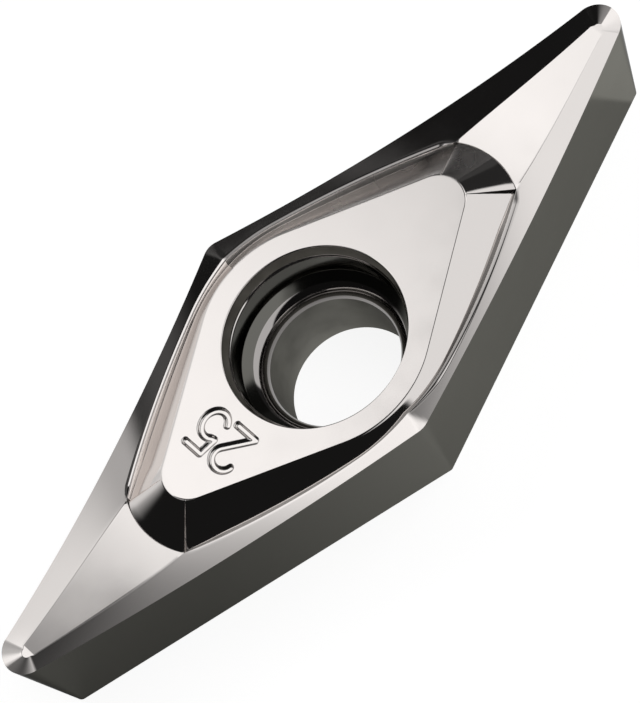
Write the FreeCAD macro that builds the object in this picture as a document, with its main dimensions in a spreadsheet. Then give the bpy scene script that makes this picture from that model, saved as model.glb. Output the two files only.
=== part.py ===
import FreeCAD, Part
import math
import os
import Sketcher

# Indexable turning insert: 35 degree rhombus, 7 degree clearance, edge length 16, thickness 4.76,
# nose radius 0.8, with a raised centre and a seat for a screw head. Lengths are in mm.
# The flat seat face lies on z = 0, the hole axis is Z, and X runs along the long diagonal.

SIZES = [
    # the rhombic blank
    ("inscribed_radius", 4.7625, "radius of the inscribed circle at the top face"),
    ("thickness", 4.76, "seat face to the noses of the cutting edge"),
    ("half_corner", 17.5, "half of the acute corner, degrees"),
    ("clearance", 7.0, "lean of the flanks from vertical, degrees"),
    ("nose_radius", 0.8, "radius of the acute corners at the top"),
    ("side_radius", 0.68, "radius of the obtuse corners at the top"),
    # the rake land that falls inwards from each cutting edge
    ("land_outer", 0.3, "how far the land tool starts outside the flank"),
    ("land_inner", 2.6, "how far the land tool reaches inside the flank"),
    ("land_top", 6.5, "height of the top of the land tool"),
    ("nose_rake", 0.28, "fall of the land per mm at the nose"),
    ("dip_along", 6.75, "lowest point of the edge, measured from the nose tangent"),
    ("dip_lean", 1.0, "shift of that point per mm inwards"),
    ("dip_height", 4.265, "height of the edge at its lowest point"),
    ("dip_rake", 0.275, "fall of the land per mm at that point"),
    ("side_height", 4.775, "height of the edge at the obtuse corner"),
    ("side_rake", 0.05, "fall of the land per mm at the obtuse corner"),
    # the facets between the two lands of an acute corner
    ("facet_start", 13.13, "where the flat nose facet meets the long hollow facet, on X"),
    ("facet_height", 4.58, "height at that line"),
    ("facet_low_along", 6.08, "where the hollow of the long facet would be level, on X"),
    ("facet_low_height", 3.917, "height at that place"),
    ("tip_fall", 0.06, "fall of the nose facet per mm towards the hole"),
    ("facet_reach", 14.6, "outer end of the facet tool on X"),
    # the wall of the groove round the raised centre
    ("wall_top", 5.0, "height at which the wall outline is drawn"),
    ("wall_bottom", 3.42, "height at which the wall tool ends"),
    ("wall_draft", 10.0, "lean of the wall from vertical, degrees"),
    ("wall_side", 4.262, "half width of the outline on Y"),
    ("wall_side_radius", 7.0, "radius of the outline at the obtuse sides"),
    ("wall_side_turn", 16.5, "half angle of that arc, degrees"),
    ("wall_long_radius", 25.0, "radius of the long arcs"),
    ("wall_end", 8.226, "half length of the outline on X"),
    ("wall_end_radius", 3.0, "radius of the end arcs"),
    # the raised centre
    ("centre_height", 4.70, "height of the flat top of the centre"),
    ("centre_radius", 3.82, "radius of its round middle"),
    ("centre_turn", 60.0, "direction of the normal of its straight sides, degrees"),
    ("centre_tip_radius", 1.0, "radius of its two tips"),
    ("centre_depth", 1.5, "height of the sloping side"),
    ("centre_draft", -50.0, "lean of the sloping side from vertical, degrees"),
    # the hole
    ("mouth_radius", 3.06, "hole at the flat top"),
    ("lip_radius", 2.96, "foot of the tapered mouth"),
    ("lip_height", 4.26, "height of that foot"),
    ("counterbore_radius", 2.90, "wall of the screw head seat"),
    ("counterbore_top", 4.20, "top of that wall"),
    ("counterbore_bottom", 3.22, "bottom of that wall"),
    ("seat_radius", 2.62, "inner end of the cone that the screw head bears on"),
    ("seat_height", 3.08, "height of that end"),
    ("bore_radius", 2.2, "screw clearance hole"),
    ("bore_top", 2.45, "where the rounded throat runs into the bore"),
]


class Dim:
    """A size that carries both its value and the expression that gives it."""

    def __init__(self, value, text=None):
        self.value = float(value)
        self.text = text if text is not None else repr(float(value))

    @staticmethod
    def of(other):
        return other if isinstance(other, Dim) else Dim(other)

    def join(self, other, sign, value):
        return Dim(value, "(" + self.text + " " + sign + " " + Dim.of(other).text + ")")

    def __add__(self, other):
        return self.join(other, "+", self.value + Dim.of(other).value)

    def __sub__(self, other):
        return self.join(other, "-", self.value - Dim.of(other).value)

    def __mul__(self, other):
        return self.join(other, "*", self.value * Dim.of(other).value)

    def __truediv__(self, other):
        return self.join(other, "/", self.value / Dim.of(other).value)

    def __neg__(self):
        return Dim(-self.value, "(0 - " + self.text + ")")


def trig(name, angle):
    """Sine, cosine or tangent of a size given in degrees."""
    value = getattr(math, name)(math.radians(angle.value))
    return Dim(value, name + "(" + angle.text + " * 1 deg)")


def fill_sheet(doc):
    """Writes every driving size into the sheet and returns them by name."""
    sheet = doc.addObject("Spreadsheet::Sheet", "Sizes")
    sizes = {}
    for row, (name, value, note) in enumerate(SIZES, start=1):
        sheet.set("A%d" % row, name)
        sheet.set("B%d" % row, repr(value))
        sheet.set("C%d" % row, note)
        sheet.setAlias("B%d" % row, name)
        sizes[name] = Dim(value, "Sizes." + name)
    doc.recompute()
    return sizes


def drive(sketch, kind, name, size, *places):
    """Adds one dimension to a sketch and binds it to its size."""
    index = sketch.addConstraint(Sketcher.Constraint(kind, *places, size.value))
    sketch.renameConstraint(index, name)
    sketch.setExpression("Constraints." + name, size.text)


def pin(sketch, name, geometry, place, x, y):
    """Holds a point of a sketch at x, y from its origin."""
    drive(sketch, "DistanceX", name + "x", Dim.of(x), -1, 1, geometry, place)
    drive(sketch, "DistanceY", name + "y", Dim.of(y), -1, 1, geometry, place)


def vector(x, y):
    return FreeCAD.Vector(Dim.of(x).value, Dim.of(y).value, 0)


def arc_between(centre, start, end):
    """The shorter arc between two points, and which of its ends is the start."""
    first = math.atan2(start.y - centre.y, start.x - centre.x)
    last = math.atan2(end.y - centre.y, end.x - centre.x)
    circle = Part.Circle(centre, FreeCAD.Vector(0, 0, 1), (start - centre).Length)
    if (last - first) % (2 * math.pi) < math.pi:
        return Part.ArcOfCircle(circle, first, last), 1
    return Part.ArcOfCircle(circle, last, first), 2


def closed_outline(doc, name, corners, centres=None, home=None, crossings=()):
    """Sketch through the corners in order; centres holds the centre of each curved side.

    Corners listed in crossings are left to the two arcs that cross there.
    """
    sketch = doc.addObject("Sketcher::SketchObject", name)
    if home is not None:
        sketch.Placement = home
    centres = centres or {}
    count = len(corners)
    starts = []
    for i in range(count):
        a, b = vector(*corners[i]), vector(*corners[(i + 1) % count])
        if i in centres:
            arc, place = arc_between(vector(*centres[i]), a, b)
            sketch.addGeometry(arc, False)
            starts.append(place)
        else:
            sketch.addGeometry(Part.LineSegment(a, b), False)
            starts.append(1)
    for i in range(count):
        after = (i + 1) % count
        sketch.addConstraint(Sketcher.Constraint("Coincident", i, 3 - starts[i], after, starts[after]))
        if i not in crossings:
            pin(sketch, "corner%d" % i, i, starts[i], *corners[i])
    for i, centre in centres.items():
        if i in crossings or (i + 1) % count in crossings:
            pin(sketch, "centre%d" % i, i, 3, *centre)
        else:
            chord = vector(*corners[(i + 1) % count]) - vector(*corners[i])
            hold_centre(sketch, i, chord, centre)
    return sketch


def hold_centre(sketch, i, chord, centre):
    """An arc between two held ends has one freedom left: its centre along one axis."""
    if abs(chord.y) < 1e-6:
        drive(sketch, "DistanceY", "centre%dy" % i, Dim.of(centre[1]), -1, 1, i, 3)
    else:
        drive(sketch, "DistanceX", "centre%dx" % i, Dim.of(centre[0]), -1, 1, i, 3)


def flip(point, sx, sy):
    x, y = Dim.of(point[0]), Dim.of(point[1])
    return (x if sx > 0 else -x, y if sy > 0 else -y)


def four_fold(doc, name, first, second, end_centre, side_centre, height, long_centre=None, end=None):
    """Outline that is the same in all four quarters, from its two corners at +X and +Y.

    The ends on X and the sides on Y are arcs; the long sides are straight without a centre.
    """
    corners = [first, second, flip(second, -1, 1), flip(first, -1, 1),
               flip(first, -1, -1), flip(second, -1, -1), flip(second, 1, -1), flip(first, 1, -1)]
    centres = {1: side_centre, 3: flip(end_centre, -1, 1), 5: flip(side_centre, 1, -1), 7: end_centre}
    if long_centre is not None:
        turns = {0: (1, 1), 2: (-1, 1), 4: (-1, -1), 6: (1, -1)}
        centres.update({i: flip(long_centre, *signs) for i, signs in turns.items()})
    crossings = () if end is None else (0, 3, 4, 7)
    sketch = closed_outline(doc, name, corners, centres, lifted(height), crossings)
    sketch.setExpression("Placement.Base.z", height.text)
    if end is not None:
        for i in (3, 7):
            drive(sketch, "Radius", "end%d" % i, end, i)
    return sketch


def lifted(height):
    return FreeCAD.Placement(FreeCAD.Vector(0, 0, height.value), FreeCAD.Rotation())


def leaning_prism(doc, name, draw, top, depth, lean):
    """Ruled solid between an outline and its parallel, drawn at the top and depth below it.

    A positive lean makes the lower outline the smaller one.
    """
    inset = depth * trig("tan", lean)
    loft = doc.addObject("Part::Loft", name)
    loft.Sections = [draw(name + "_top", Dim(0), top), draw(name + "_foot", inset, top - depth)]
    loft.Solid = True
    loft.Ruled = True
    return loft


def make_blank(doc, d):
    """The rhombic prism with round corners, leaning flanks and its seat face on z = 0."""
    sine, cosine = trig("sin", d["half_corner"]), trig("cos", d["half_corner"])
    nose = (d["inscribed_radius"] - d["nose_radius"]) / sine
    side = (d["inscribed_radius"] - d["side_radius"]) / cosine

    def draw(name, inset, height):
        tip, knee = d["nose_radius"] - inset, d["side_radius"] - inset
        nose_end = (nose + tip * sine, tip * cosine)
        side_end = (knee * sine, side + knee * cosine)
        return four_fold(doc, name, nose_end, side_end, (nose, 0), (0, side), height)

    return leaning_prism(doc, "blank", draw, d["thickness"], d["thickness"], d["clearance"])


def land_section(doc, d, name, offset):
    """Upright section of the land tool, parallel to one flank and offset outwards from it."""
    sine, cosine = trig("sin", d["half_corner"]), trig("cos", d["half_corner"])
    tangent = sine / cosine
    nose = (d["inscribed_radius"] - d["nose_radius"]) / sine
    length = d["inscribed_radius"] * tangent + nose * cosine
    reach = d["inscribed_radius"] + offset
    # local x runs from the nose tangent towards the obtuse corner, local y is up
    normal = FreeCAD.Vector(sine.value, cosine.value, 0)
    along = FreeCAD.Vector(-cosine.value, sine.value, 0)
    start = along * (-(nose * cosine).value)
    turn = FreeCAD.Rotation(along, FreeCAD.Vector(0, 0, 1), normal, "XYZ")
    home = FreeCAD.Placement(normal * reach.value + start, turn)
    dip = d["dip_along"] + d["dip_lean"] * offset
    end = length + offset * tangent
    corners = [
        (0, d["thickness"] + offset * d["nose_rake"]),
        (dip, d["dip_height"] + offset * d["dip_rake"]),
        (end, d["side_height"] + offset * d["side_rake"]),
        (end, d["land_top"]),
        (0, d["land_top"]),
    ]
    centres = {0: level_centre(corners[1], corners[0]), 1: level_centre(corners[1], corners[2])}
    sketch = closed_outline(doc, name, corners, centres, home)
    base = (reach * sine + nose * cosine * cosine, reach * cosine - nose * cosine * sine)
    sketch.setExpression("Placement.Base.x", base[0].text)
    sketch.setExpression("Placement.Base.y", base[1].text)
    return sketch


def level_centre(lowest, other):
    """Centre of the arc that is level at its lowest point and passes through another point."""
    across, up = Dim.of(other[0]) - lowest[0], other[1] - lowest[1]
    radius = (across * across + up * up) / (up * 2)
    return (lowest[0], lowest[1] + radius)


def make_land_tool(doc, d):
    """Everything above one land: a ruled solid beside the flank and a part cone at the nose."""
    sections = [land_section(doc, d, "land_outer_section", d["land_outer"]),
                land_section(doc, d, "land_inner_section", -d["land_inner"])]
    loft = doc.addObject("Part::Loft", "land_tool")
    loft.Sections = sections
    loft.Solid = True
    loft.Ruled = True
    cone = doc.addObject("Part::Cone", "nose_tool")
    height = d["land_top"] - d["thickness"] + d["nose_radius"] * d["nose_rake"]
    cone.Radius1 = 0
    cone.setExpression("Height", height.text)
    cone.setExpression("Radius2", (height / d["nose_rake"]).text)
    cone.setExpression("Angle", "(90 - Sizes.half_corner) * 1 deg")
    nose = (d["inscribed_radius"] - d["nose_radius"]) / trig("sin", d["half_corner"])
    cone.setExpression("Placement.Base.x", nose.text)
    cone.setExpression("Placement.Base.z", (d["land_top"] - height).text)
    both = doc.addObject("Part::MultiFuse", "edge_tool")
    both.Shapes = [loft, cone]
    return both


def make_facet_tool(doc, d):
    """Everything above the long facet and the nose facet in one quarter."""
    knee = (d["facet_start"], d["facet_height"])
    low = (d["facet_low_along"], d["facet_low_height"])
    tip = (d["facet_reach"], d["facet_height"] + (d["facet_reach"] - d["facet_start"]) * d["tip_fall"])
    top = d["land_top"] - 0.5
    corners = [low, knee, tip, (d["facet_reach"], top), (0, top), (0, d["facet_low_height"])]
    upright = FreeCAD.Placement(FreeCAD.Vector(), FreeCAD.Rotation(FreeCAD.Vector(1, 0, 0), 90))
    outline = closed_outline(doc, "facet_outline", corners, {0: level_centre(low, knee)}, upright)
    slab = doc.addObject("Part::Extrusion", "facet_tool")
    slab.Base = outline
    slab.DirMode = "Custom"
    slab.Dir = FreeCAD.Vector(0, 1, 0)
    slab.setExpression("LengthFwd", (d["inscribed_radius"] * 1.4).text)
    slab.Solid = True
    return slab


def mirror(doc, name, source, normal):
    copy = doc.addObject("Part::Mirroring", name)
    copy.Source = source
    copy.Base = FreeCAD.Vector(0, 0, 0)
    copy.Normal = normal
    return copy


def make_wall_tool(doc, d):
    """The prism whose leaning side is the outer wall of the groove."""
    sine, cosine = trig("sin", d["wall_side_turn"]), trig("cos", d["wall_side_turn"])
    side_centre = (0, d["wall_side"] - d["wall_side_radius"])
    reach = d["wall_long_radius"] - d["wall_side_radius"]
    long_centre = (-(reach * sine), side_centre[1] - reach * cosine)
    end_centre = (d["wall_end"] - d["wall_end_radius"], 0)

    def draw(name, inset, height):
        side, end = d["wall_side_radius"] - inset, d["wall_end_radius"] - inset
        join = (side * sine, side_centre[1] + side * cosine)
        corner = crossing(vector(*long_centre), (d["wall_long_radius"] - inset).value,
                          vector(*end_centre), end.value)
        return four_fold(doc, name, corner, join, end_centre, side_centre, height, long_centre, end)

    depth = d["wall_top"] - d["wall_bottom"]
    return leaning_prism(doc, "wall_tool", draw, d["wall_top"], depth, d["wall_draft"])


def crossing(first, first_radius, second, second_radius):
    """Where two circles cross, on the right of the line between their centres."""
    across = second - first
    gap = across.Length
    part = (gap ** 2 + first_radius ** 2 - second_radius ** 2) / (2 * gap)
    rise = math.sqrt(first_radius ** 2 - part ** 2)
    return (first.x + (across.x * part + across.y * rise) / gap,
            first.y + (across.y * part - across.x * rise) / gap)


def make_centre(doc, d):
    """The raised centre: round middle, two pointed ends and sides that slope outwards."""
    sine, cosine = trig("sin", d["centre_turn"]), trig("cos", d["centre_turn"])
    tip = (d["centre_radius"] - d["centre_tip_radius"]) / cosine

    def draw(name, inset, height):
        end, middle = d["centre_tip_radius"] - inset, d["centre_radius"] - inset
        return four_fold(doc, name, (tip + end * cosine, end * sine), (middle * cosine, middle * sine),
                         (tip, 0), (0, 0), height)

    return leaning_prism(doc, "centre", draw, d["centre_height"], d["centre_depth"], d["centre_draft"])


def make_hole(doc, d):
    """The hole turned about Z: tapered mouth, counterbore, conical seat, rounded throat and bore."""
    step = d["seat_radius"] - d["bore_radius"]
    rise = d["seat_height"] - d["bore_top"]
    # the throat arc leaves the bore without a corner and ends where the seat cone begins
    throat_radius = (step * step + rise * rise) / (step * 2)
    throat_centre = (d["bore_radius"] + throat_radius, d["bore_top"])
    widening = (d["mouth_radius"] - d["lip_radius"]) / (d["centre_height"] - d["lip_height"])
    mouth = d["mouth_radius"] + widening * (d["wall_top"] - d["centre_height"])
    corners = [
        (0, -0.5), (d["bore_radius"], -0.5), (d["bore_radius"], d["bore_top"]),
        (d["seat_radius"], d["seat_height"]),
        (d["counterbore_radius"], d["counterbore_bottom"]),
        (d["counterbore_radius"], d["counterbore_top"]),
        (d["lip_radius"], d["lip_height"]),
        (mouth, d["wall_top"]),
        (0, d["wall_top"]),
    ]
    upright = FreeCAD.Placement(FreeCAD.Vector(), FreeCAD.Rotation(FreeCAD.Vector(1, 0, 0), 90))
    outline = closed_outline(doc, "hole_outline", corners, {2: throat_centre}, upright)
    turned = doc.addObject("Part::Revolution", "hole_tool")
    turned.Source = outline
    turned.Axis = FreeCAD.Vector(0, 0, 1)
    turned.Base = FreeCAD.Vector(0, 0, 0)
    turned.Angle = 360
    turned.Solid = True
    return turned


def make_rake_tools(doc, d):
    """The four copies of the tool that shapes the lands and facets of one quarter."""
    quarter = doc.addObject("Part::MultiCommon", "rake_quarter")
    quarter.Shapes = [make_land_tool(doc, d), make_facet_tool(doc, d)]
    across = mirror(doc, "rake_quarter_left", quarter, FreeCAD.Vector(1, 0, 0))
    below = mirror(doc, "rake_quarter_near", quarter, FreeCAD.Vector(0, 1, 0))
    both = mirror(doc, "rake_quarter_far", across, FreeCAD.Vector(0, 1, 0))
    return [quarter, across, below, both]


def cut(doc, name, base, tool):
    result = doc.addObject("Part::Cut", name)
    result.Base = base
    result.Tool = tool
    return result


def build_insert(doc, d):
    """Cuts the lands and the groove into the blank, leaves the centre standing, adds the hole."""
    above = doc.addObject("Part::MultiFuse", "above_top")
    above.Shapes = make_rake_tools(doc, d) + [make_wall_tool(doc, d)]
    top_tool = cut(doc, "top_tool", above, make_centre(doc, d))
    shaped = cut(doc, "shaped_blank", make_blank(doc, d), top_tool)
    insert = cut(doc, "insert_body", shaped, make_hole(doc, d))
    insert.Refine = True
    return insert


def check(doc):
    """Raises when an object is in error or a shape is missing or not sound."""
    for item in doc.Objects:
        if "Invalid" in item.State or "Error" in item.State:
            raise RuntimeError(item.Label + " is in error")
        shape = getattr(item, "Shape", None)
        if shape is not None and item.TypeId not in ("App::Line", "App::Plane", "App::Point"):
            if shape.isNull() or not shape.isValid():
                raise RuntimeError(item.Label + " has no sound shape")


def main():
    doc = FreeCAD.newDocument("turning_insert")
    sizes = fill_sheet(doc)
    insert = build_insert(doc, sizes)
    insert.Label = "insert_body"
    doc.recompute()
    check(doc)
    if len(insert.Shape.Solids) != 1:
        raise RuntimeError("the insert is not one solid")
    os.makedirs("parts", exist_ok=True)
    insert.Shape.exportStep("parts/insert_body.step")
    box = insert.Shape.BoundBox
    print("insert_body", round(insert.Shape.Volume, 3), "mm3,",
          round(box.XLength, 3), "x", round(box.YLength, 3), "x", round(box.ZLength, 3),
          len(insert.Shape.Faces), "faces")


main()
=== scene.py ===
"""Dresses a rhombic carbide turning insert in polished metal and sets a plain studio round it.

The insert is built again as one fine mesh from its sizes in millimetres, so that its small
roundings and the sunk figures show in the reflections.
"""

import math

import bmesh
import bpy
import mathutils
import numpy as np
from mathutils.geometry import delaunay_2d_cdt
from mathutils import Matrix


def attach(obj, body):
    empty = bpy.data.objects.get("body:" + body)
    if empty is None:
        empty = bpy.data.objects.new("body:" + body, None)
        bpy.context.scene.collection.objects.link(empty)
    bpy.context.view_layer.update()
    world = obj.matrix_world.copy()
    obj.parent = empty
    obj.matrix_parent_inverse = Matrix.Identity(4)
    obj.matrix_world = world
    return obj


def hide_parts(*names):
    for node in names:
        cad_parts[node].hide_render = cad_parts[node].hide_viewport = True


bl_info = {
    "name": "Turning Insert Dresser",
    "version": (1, 0, 0),
    "blender": (4, 2, 0),
    "location": "View3D > Sidebar > Insert",
    "description": "Builds the polished surface of a turning insert and its studio",
    "category": "Object",
}

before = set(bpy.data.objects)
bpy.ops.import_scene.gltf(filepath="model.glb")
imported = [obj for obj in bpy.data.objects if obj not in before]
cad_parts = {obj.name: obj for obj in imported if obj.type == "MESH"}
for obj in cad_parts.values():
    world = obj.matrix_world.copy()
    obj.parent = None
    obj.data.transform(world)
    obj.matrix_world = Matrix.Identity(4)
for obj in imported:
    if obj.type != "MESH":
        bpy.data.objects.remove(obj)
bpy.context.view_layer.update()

MM = 0.001

# the insert's sizes in mm and degrees, as in its solid, save that the rake at the sides and the
# radii of the wall's long and end arcs follow the photo more closely
INSCRIBED = 4.7625
THICKNESS = 4.76
HALF_CORNER = 17.5
CLEARANCE = 7.0
NOSE_RADIUS = 0.8
SIDE_RADIUS = 0.68
NOSE_RAKE = 0.28
DIP_ALONG, DIP_LEAN, DIP_HEIGHT, DIP_RAKE = 6.75, 1.0, 4.265, 0.275
SIDE_HEIGHT, SIDE_RAKE = 4.775, 0.11
FACET_START, FACET_HEIGHT = 13.13, 4.58
FACET_LOW_ALONG, FACET_LOW_HEIGHT, TIP_FALL = 6.08, 3.917, 0.06
WALL_TOP, WALL_DRAFT, WALL_CORNER_HEIGHT = 5.0, 10.0, 4.0
WALL_SIDE, WALL_SIDE_RADIUS, WALL_SIDE_TURN = 4.262, 7.0, 16.5
WALL_LONG_RADIUS, WALL_END, WALL_END_RADIUS = 28.5, 8.226, 3.07
CENTRE_HEIGHT, CENTRE_RADIUS, CENTRE_TURN = 4.70, 3.82, 60.0
CENTRE_TIP_RADIUS, CENTRE_DRAFT = 1.0, 50.0
# radius and height down the hole, from its chamfer to the rim of the screw's seat
HOLE = [(3.06, 4.70), (2.96, 4.26), (2.90, 4.20), (2.90, 3.22), (2.62, 3.08)]
BORE_RADIUS, BORE_TOP = 2.2, 2.45
# heights in the hole at which its bright edge and its wall end, the piece of flat that leads to
# it, and the most of a side that the rounding of a corner takes
HOLE_EDGE_END, HOLE_WALL_END = HOLE[2][1] + 0.01, HOLE[-1][1] - 0.02
HOLE_FLAT, HOLE_ROUND_SHARE = 0.2, 0.4

# the small roundings, in mm to each side of the corner
ROUND_VALLEY, VALLEY_DIP = 0.014, 0.001
ROUND_CORNER = 0.015
ROUND_FOOT = 0.006
ROUND_RIM = 0.05
ROUND_HOLE = 0.03

# how finely the surface is divided
NOSE_STEPS = 18
KNEE_STEPS = 3
CREASE_STEPS = 44
RING_STEPS = 76
END_STEPS = 14
LAND_ROWS = 10
ROUND_ROWS = 6
BEAD_ROWS = 5
RIM_ROWS = BEAD_ROWS + ROUND_ROWS
WALL_STEPS = 3
WALL_ROWS = RIM_ROWS + WALL_STEPS
FOOT_ROWS = 4
EDGE_TRIES = 12
SLOPE_STEPS = 6
FLANK_ROWS = 4
TURN_STEPS = 192
HOLE_ROUND_ROWS = 4
HOLE_SEAT_STEPS = 12
BORE_ROWS = 4

# the quarters of the top, as the signs of X and Y
MIRRORS = [(1, 1), (-1, 1), (-1, -1), (1, -1)]

# the narrow rim along the top of the groove's wall in each quarter: its width, its rise over the
# land, its inner rounding, and how far it is levelled, from 0 for the lie of the land to 1
BEADS = {(1, 1): (0.13, 0.0, 0.02, 1.0), (-1, 1): (0.10, 0.0, 0.03, 1.0),
         (-1, -1): (0.06, 0.004, 0.04, 0.0), (1, -1): (0.18, 0.033, 0.04, 0.0)}
# the same at the end arcs, and where the wall crosses the Y axis above and below X
END_BEAD = (0.02, 0.0, 0.03, 0.0)
SIDE_BEADS = {1: (0.10, 0.0, 0.03, 1.0), -1: END_BEAD}
# stations over which it changes, the share of its width that its rows take, and a level rim's fall
BEAD_SIDE_STATIONS, BEAD_END_STATIONS = 12, 4
BEAD_SPREAD = 0.85
BEAD_FALL = 0.03

# heights and insets between which the places of the ring, its foot, the valley between land and
# facets and the start of the facets are looked for, in mm
RING_HEIGHTS = (3.5, 4.9)
FOOT_LOWEST = 3.2
TIP_INSET = 0.02
VALLEY_INSETS = (0.05, 2.4)
KNEE_RUNS = (0.0, 2.0)

# the most of the wall's height that the roundings of its top and foot take
RIM_SHARE, FOOT_SHARE = 0.45, 0.3
# how late the facets' columns begin to bend towards the ring
BEND_POWER = 1.5

# the wall loses this share of its height over these stations, counted along the ring
FADE_SHARE = 0.93
FADE_START, FADE_STATIONS = RING_STEPS - 14, 24

# the figures, in mm: middles of the two, the box that holds both, half widths of stroke and floor
FIGURE_FIRST, FIGURE_SECOND = (-4.38, -0.564), (-4.36, 0.50)
FIGURE_BOX = (-5.36, -3.40, -1.30, 1.22)
FIGURE_STEP = 0.02
FIGURE_HALF, FIGURE_FLOOR = 0.125, 0.06
FIGURE_MARGIN = 0.1

# joins of the mesh, in metres, and the share of a circle's radius that counts as inside it
JOIN_DISTANCE, LEAST_EDGE = 3e-7, 1e-8
INSIDE = 0.99995

# the parts of the skin, and the material slots of those that don't have the first one
LAND, FACET, NOSE_FACET, GROOVE, FLANK, CENTRE, FIGURES, HOLE_EDGE, HOLE_WALL, HOLE_SEAT, BORE, \
    SEAT, WALL, END_WALL, LEFT_WALL_PAINTED_LIGHT, FAR_SLOPE_PAINTED_LIGHT = range(16)
# slots 2 to 6 hold darker colours as painted shade, in the hole and on the groove's walls, and 7
# and 8 lighter copies of the polish as painted light
SLOTS = {FLANK: 1, BORE: 2, HOLE_WALL: 3, HOLE_SEAT: 4, END_WALL: 5, WALL: 6, FAR_SLOPE_PAINTED_LIGHT: 7,
         LEFT_WALL_PAINTED_LIGHT: 8}
SHARP_PAIRS = [{LAND, FLANK}, {FLANK, SEAT}, {BORE, SEAT}, {FACET, NOSE_FACET}, {FIGURES, CENTRE}]
FLAT_PATCHES = {SEAT, CENTRE}

# the camera: the axis of its turn with the angle in radians as length, and its shift in mm
IMAGE_SIZE = (640, 703)
CAMERA_TURN = (2.4185, -1.0926, -0.1783)
CAMERA_SHIFT = (1.2493, 1.2581, 109.1856)
SENSOR_WIDTH = 36.0
CLIP_START = 0.001
FLOOR_DROP = 0.00001

# the faint clouds in the polish: how many to a metre, and how finely they are drawn
CLOUD_SCALE, CLOUD_DETAIL = 900.0, 3.0
WHITE = (1.0, 1.0, 1.0, 1.0)

SIN_H, COS_H = math.sin(math.radians(HALF_CORNER)), math.cos(math.radians(HALF_CORNER))
TAN_CLEAR = math.tan(math.radians(CLEARANCE))
TAN_WALL = math.tan(math.radians(WALL_DRAFT))
TAN_CENTRE = math.tan(math.radians(CENTRE_DRAFT))
NOSE_X = (INSCRIBED - NOSE_RADIUS) / SIN_H
SIDE_Y = (INSCRIBED - SIDE_RADIUS) / COS_H
EDGE_LENGTH = NOSE_X * COS_H + SIDE_Y * SIN_H
TURN = math.radians(WALL_SIDE_TURN)
SIDE_ARC = (0.0, WALL_SIDE - WALL_SIDE_RADIUS)
LONG_ARC = (-(WALL_LONG_RADIUS - WALL_SIDE_RADIUS) * math.sin(TURN),
            SIDE_ARC[1] - (WALL_LONG_RADIUS - WALL_SIDE_RADIUS) * math.cos(TURN))
END_ARC = (WALL_END - WALL_END_RADIUS, 0.0)
TIP_X = (CENTRE_RADIUS - CENTRE_TIP_RADIUS) / math.cos(math.radians(CENTRE_TURN))


def parabola(lowest, height, other, other_height, place):
    """Height of the arc that is level at its lowest place and passes another one."""
    across, up = other - lowest, other_height - height
    radius = (across * across + up * up) / (2 * up)
    return height + radius - math.sqrt(radius * radius - (place - lowest) ** 2)


def land(x, y):
    """Height of the land beside one flank, with its cones at the nose and the obtuse corner."""
    offset = SIN_H * x + COS_H * y - INSCRIBED
    along = -COS_H * x + SIN_H * y + COS_H * NOSE_X
    if along < 0:
        reach = math.hypot(x - NOSE_X, y)
        return THICKNESS - NOSE_RAKE * (NOSE_RADIUS - reach)
    if along > EDGE_LENGTH and y > SIDE_Y:
        offset = math.hypot(x, y - SIDE_Y) - SIDE_RADIUS
        along = EDGE_LENGTH
    dip = DIP_ALONG + DIP_LEAN * offset
    low = DIP_HEIGHT + offset * DIP_RAKE
    if along < dip:
        return parabola(dip, low, 0.0, THICKNESS + offset * NOSE_RAKE, along)
    end = INSCRIBED * SIN_H / COS_H + NOSE_X * COS_H + offset * SIN_H / COS_H
    return parabola(dip, low, end, SIDE_HEIGHT + offset * SIDE_RAKE, along)


def facet(x):
    """Height of the two facets between the lands of an acute corner."""
    if x > FACET_START:
        return FACET_HEIGHT + (x - FACET_START) * TIP_FALL
    return parabola(FACET_LOW_ALONG, FACET_LOW_HEIGHT, FACET_START, FACET_HEIGHT, x)


def top(x, y):
    """Height of the shaped top outside the groove."""
    return max(land(x, y), facet(x))


def slope_side(x, y):
    """Height of the sloping side of the raised centre."""
    angle = math.atan2(y, x - TIP_X)
    turn = math.radians(CENTRE_TURN)
    if angle < turn:
        out = math.hypot(x - TIP_X, y) - CENTRE_TIP_RADIUS
    elif math.atan2(y, x) > turn:
        out = math.hypot(x, y) - CENTRE_RADIUS
    else:
        out = x * math.cos(turn) + y * math.sin(turn) - CENTRE_RADIUS
    return CENTRE_HEIGHT - out / TAN_CENTRE


def rim_point(x, y, out):
    """The place nearest to x, y on the outline of the raised centre grown by out."""
    angle = math.atan2(y, x - TIP_X)
    turn = math.radians(CENTRE_TURN)
    if angle < turn:
        reach = CENTRE_TIP_RADIUS + out
        return (TIP_X + reach * math.cos(angle), reach * math.sin(angle))
    around = math.atan2(y, x)
    if around > turn:
        reach = CENTRE_RADIUS + out
        return (reach * math.cos(around), reach * math.sin(around))
    short = CENTRE_RADIUS + out - x * math.cos(turn) - y * math.sin(turn)
    return (x + short * math.cos(turn), y + short * math.sin(turn))


def solve(change, low, high, steps=60):
    """The place between low and high where the change crosses zero."""
    first = change(low) > 0
    for _ in range(steps):
        middle = (low + high) / 2
        if (change(middle) > 0) == first:
            low = middle
        else:
            high = middle
    return (low + high) / 2


def bezier(start, corner, end, rows):
    """Points of the rounding between start and end, without start itself."""
    start, corner, end = (np.array(p, float) for p in (start, corner, end))
    steps = [k / rows for k in range(1, rows + 1)]
    return [tuple((1 - t) ** 2 * start + 2 * t * (1 - t) * corner + t * t * end) for t in steps]


def wall_corner(height):
    """Where the long arc and the end arc of the wall cross at one height."""
    inset = (WALL_TOP - height) * TAN_WALL
    first, second = WALL_LONG_RADIUS - inset, WALL_END_RADIUS - inset
    across = (END_ARC[0] - LONG_ARC[0], END_ARC[1] - LONG_ARC[1])
    gap = math.hypot(*across)
    part = (gap * gap + first * first - second * second) / (2 * gap)
    rise = math.sqrt(first * first - part * part)
    return (LONG_ARC[0] + (across[0] * part + across[1] * rise) / gap,
            LONG_ARC[1] + (across[1] * part - across[0] * rise) / gap)


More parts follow.
